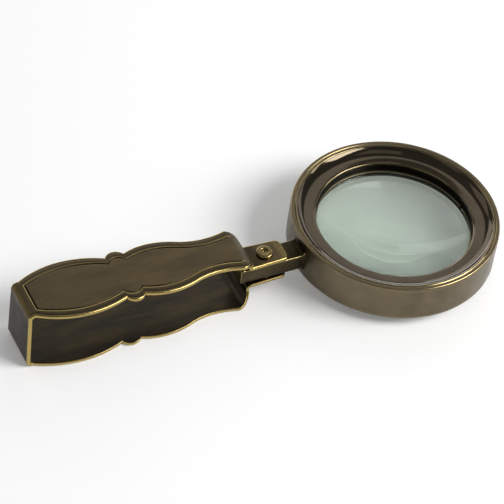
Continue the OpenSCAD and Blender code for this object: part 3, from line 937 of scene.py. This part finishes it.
# The inside tones are the sheet's colour darkened as painted shade within the channel.
handle_brass = brass("handle_brass", (0.124, 0.093, 0.048), (0.092, 0.070, 0.040), (0.44, 0.33, 0.115),
                     (0.30, 0.42), 0.15, ALONG, clouds=LONG_CLOUDS,
                     inside=((0.078, 0.060, 0.036), (0.044, 0.040, 0.031)))
rivet_brass = brass("rivet_brass", (0.20, 0.15, 0.065), (0.12, 0.09, 0.04), (0.62, 0.48, 0.20),
                    (0.16, 0.26), 0.12, EVEN, 2e-6)
arm_brass = brass("arm_brass", (0.080, 0.062, 0.031), (0.052, 0.040, 0.023), (0.42, 0.33, 0.15),
                  (0.24, 0.34), 0.19, ALONG, 2e-6)
ring_brass = brass("ring_brass", (0.165, 0.132, 0.083), (0.122, 0.100, 0.065), (0.42, 0.33, 0.16),
                   (0.30, 0.40), 0.16, ROUND, 5e-6, turned=True)
bezel_brass = brass("bezel_brass", (0.088, 0.067, 0.040), (0.066, 0.050, 0.029), (0.40, 0.31, 0.15),
                    (0.08, 0.12), 0.1, ROUND, 1e-6, turned=True, lacquer=0.4)
cell_brass = brass("cell_brass", (0.035, 0.03, 0.02), (0.02, 0.017, 0.012), (0.10, 0.08, 0.04),
                   (0.35, 0.45), 0.3, ROUND, 2e-6, turned=True)
snap_brass = brass("snap_brass", (0.20, 0.18, 0.13), (0.14, 0.12, 0.085), (0.35, 0.30, 0.18),
                   (0.3, 0.4), 0.3, ROUND, 2e-6, turned=True)
bronze = brass("washer_bronze", (0.16, 0.10, 0.05), (0.09, 0.06, 0.032), (0.45, 0.30, 0.15),
               (0.35, 0.45), 0.3, EVEN)

# ---------------------------------------------------------------- pieces of the handle
settle(handle_strip(), "handle", "handle_brass", handle_brass, "handle_frame")
settle(rivet(), "handle", "rivet_brass", rivet_brass, "hinge_rivet")
settle(flat_ring("burr_disc", HINGE, BURR_R, HOLE_R, -EAR_HALF_H - BURR_T, -EAR_HALF_H, 0.15),
       "handle", "rivet_brass", rivet_brass, "rivet_burr")
ear_inner_z = EAR_HALF_H - SHEET_T
for place, low in (("upper", ear_inner_z - WASHER_T), ("lower", -ear_inner_z)):
    settle(flat_ring(f"washer_{place}", HINGE, WASHER_R, HOLE_R, low, low + WASHER_T, 0.08),
           "handle", "washer_bronze", bronze, f"{place}_washer")

# ---------------------------------------------------------------- pieces of the lens head
settle(arm(), "lens_head", "arm_brass", arm_brass, "lens_arm")
settle(ring_band(), "lens_head", "ring_brass", ring_brass, "lens_ring")
for place, side in (("upper", 1), ("lower", -1)):
    settle(bezel(f"bezel_{place}", side), "lens_head", "bezel_brass", bezel_brass, f"{place}_bezel")
settle(cell(), "lens_head", "cell_brass", cell_brass, "lens_cell")
settle(lens_glass(), "lens_head", "lens_glass", glass(), "lens")
seat_z, snap_z = LENS_Z - face_z(SEAT_INNER_R), LENS_Z + face_z(SEAT_INNER_R)
settle(flat_ring("gasket_band", LENS_CENTRE, CELL_R, SEAT_INNER_R + 0.1, seat_z - GASKET_T, seat_z, 0.06, 192),
       "lens_head", "gasket_rubber", rubber(), "lens_gasket")
settle(flat_ring("snap_ring", LENS_CENTRE, CELL_R, SEAT_INNER_R, snap_z, snap_z + SNAP_T, 0.12, 192, gap=SNAP_GAP),
       "lens_head", "snap_brass", snap_brass, "retaining_ring")
give_material(frame["nodes"]["arm_screw"], rivet_brass)


# ---------------------------------------------------------------- floor, light and camera
FLOOR_HALF_W, FLOOR_DROP, FLOOR_GLOW = 6.0, 0.0002, 0.13
LIGHT_DISTANCE, SURROUND_STRENGTH = 1.5, 0.2
WHITE = (1.0, 1.0, 1.0)

# Name, azimuth and elevation in degrees, width and height in metres, radiance
SOFTBOXES = (
    ("front_right", 50, 42, 0.8, 0.7, 10.0),
    ("low_right", 66, 24, 0.8, 0.4, 6.5),
    ("back", 142, 38, 0.9, 0.66, 0.75),
    ("back_left", 204, 44, 0.6, 0.6, 0.65),
    ("back_low", 170, 24, 1.1, 0.4, 1.5),
    ("sweep_back", 165, 8, 2.0, 0.3, 2.2),
    ("sweep_right", 108, 14, 1.2, 0.35, 1.0),
    ("sweep_left", -70, 12, 1.2, 0.35, 0.5),
    ("left", 265, 52, 0.6, 0.6, 0.3),
    ("top", 60, 76, 0.6, 0.5, 0.4),
)

CAMERA_AZIMUTH, CAMERA_ELEVATION, CAMERA_ROLL = -31.34, 45.07, 8.50
CAMERA_DISTANCE, CAMERA_LENS, CAMERA_SENSOR = 942.0, 189.1, 36.0
CAMERA_TARGET = (5.56, 15.21, 0.0)
CAMERA_CLIP = (0.01, 20.0)


def floor():
    """Pale paper floor just under the object. It gives off a little light, so that it comes out near white."""
    w = FLOOR_HALF_W
    mesh = bpy.data.meshes.new("floor")
    mesh.from_pydata([(-w, -w, 0), (w, -w, 0), (w, w, 0), (-w, w, 0)], [], [(0, 1, 2, 3)])
    plane = add_to_scene("floor", mesh)
    plane.location.z = -FLOOR_DROP
    m = Material("floor_paper")
    m.shade(Base_Color=(0.93, 0.93, 0.93), Roughness=0.9, Emission_Color=WHITE, Emission_Strength=FLOOR_GLOW)
    mesh.materials.append(m.material)


def direction(azimuth, elevation):
    """Unit vector from the object's middle, with azimuth 0 in front of it, in radians."""
    return Vector((math.sin(azimuth) * math.cos(elevation), -math.cos(azimuth) * math.cos(elevation),
                   math.sin(elevation)))


def softbox(name, azimuth, elevation, width, height, radiance):
    """A soft area light aimed at the object, placed by its direction from the object's middle."""
    toward = direction(math.radians(azimuth), math.radians(elevation))
    data = bpy.data.lights.new(name, "AREA")
    data.shape = "RECTANGLE"
    data.size, data.size_y = width, height
    data.energy = math.pi * width * height * radiance
    light = add_to_scene(name, data)
    light.location = toward * LIGHT_DISTANCE
    light.rotation_mode = "QUATERNION"
    light.rotation_quaternion = toward.to_track_quat("Z", "Y")


def studio():
    """Soft white surroundings and the softboxes."""
    world = bpy.data.worlds.new("studio")
    world.use_nodes = True
    background = world.node_tree.nodes["Background"]
    background.inputs["Color"].default_value = (*WHITE, 1)
    background.inputs["Strength"].default_value = SURROUND_STRENGTH
    bpy.context.scene.world = world
    for light in SOFTBOXES:
        softbox(*light)


def camera():
    """Camera at the photo's viewing angle, turned about its own axis by the roll."""
    azimuth, elevation, roll = map(math.radians, (CAMERA_AZIMUTH, CAMERA_ELEVATION, CAMERA_ROLL))
    back = direction(azimuth, elevation)
    right = (-back).cross(Vector((0, 0, 1))).normalized()
    up = right.cross(-back)
    data = bpy.data.cameras.new("camera")
    data.sensor_width = CAMERA_SENSOR
    data.lens = CAMERA_LENS
    data.clip_start, data.clip_end = CAMERA_CLIP
    view = add_to_scene("camera", data)
    turned = view.matrix_world.to_3x3()
    turned.col[0] = right * math.cos(roll) + up * math.sin(roll)
    turned.col[1] = up * math.cos(roll) - right * math.sin(roll)
    turned.col[2] = back
    view.matrix_world = turned.to_4x4()
    view.location = (Vector(CAMERA_TARGET) + back * CAMERA_DISTANCE) * MM
    bpy.context.scene.camera = view


floor()
studio()
camera()
bpy.context.scene.view_settings.view_transform = "Standard"
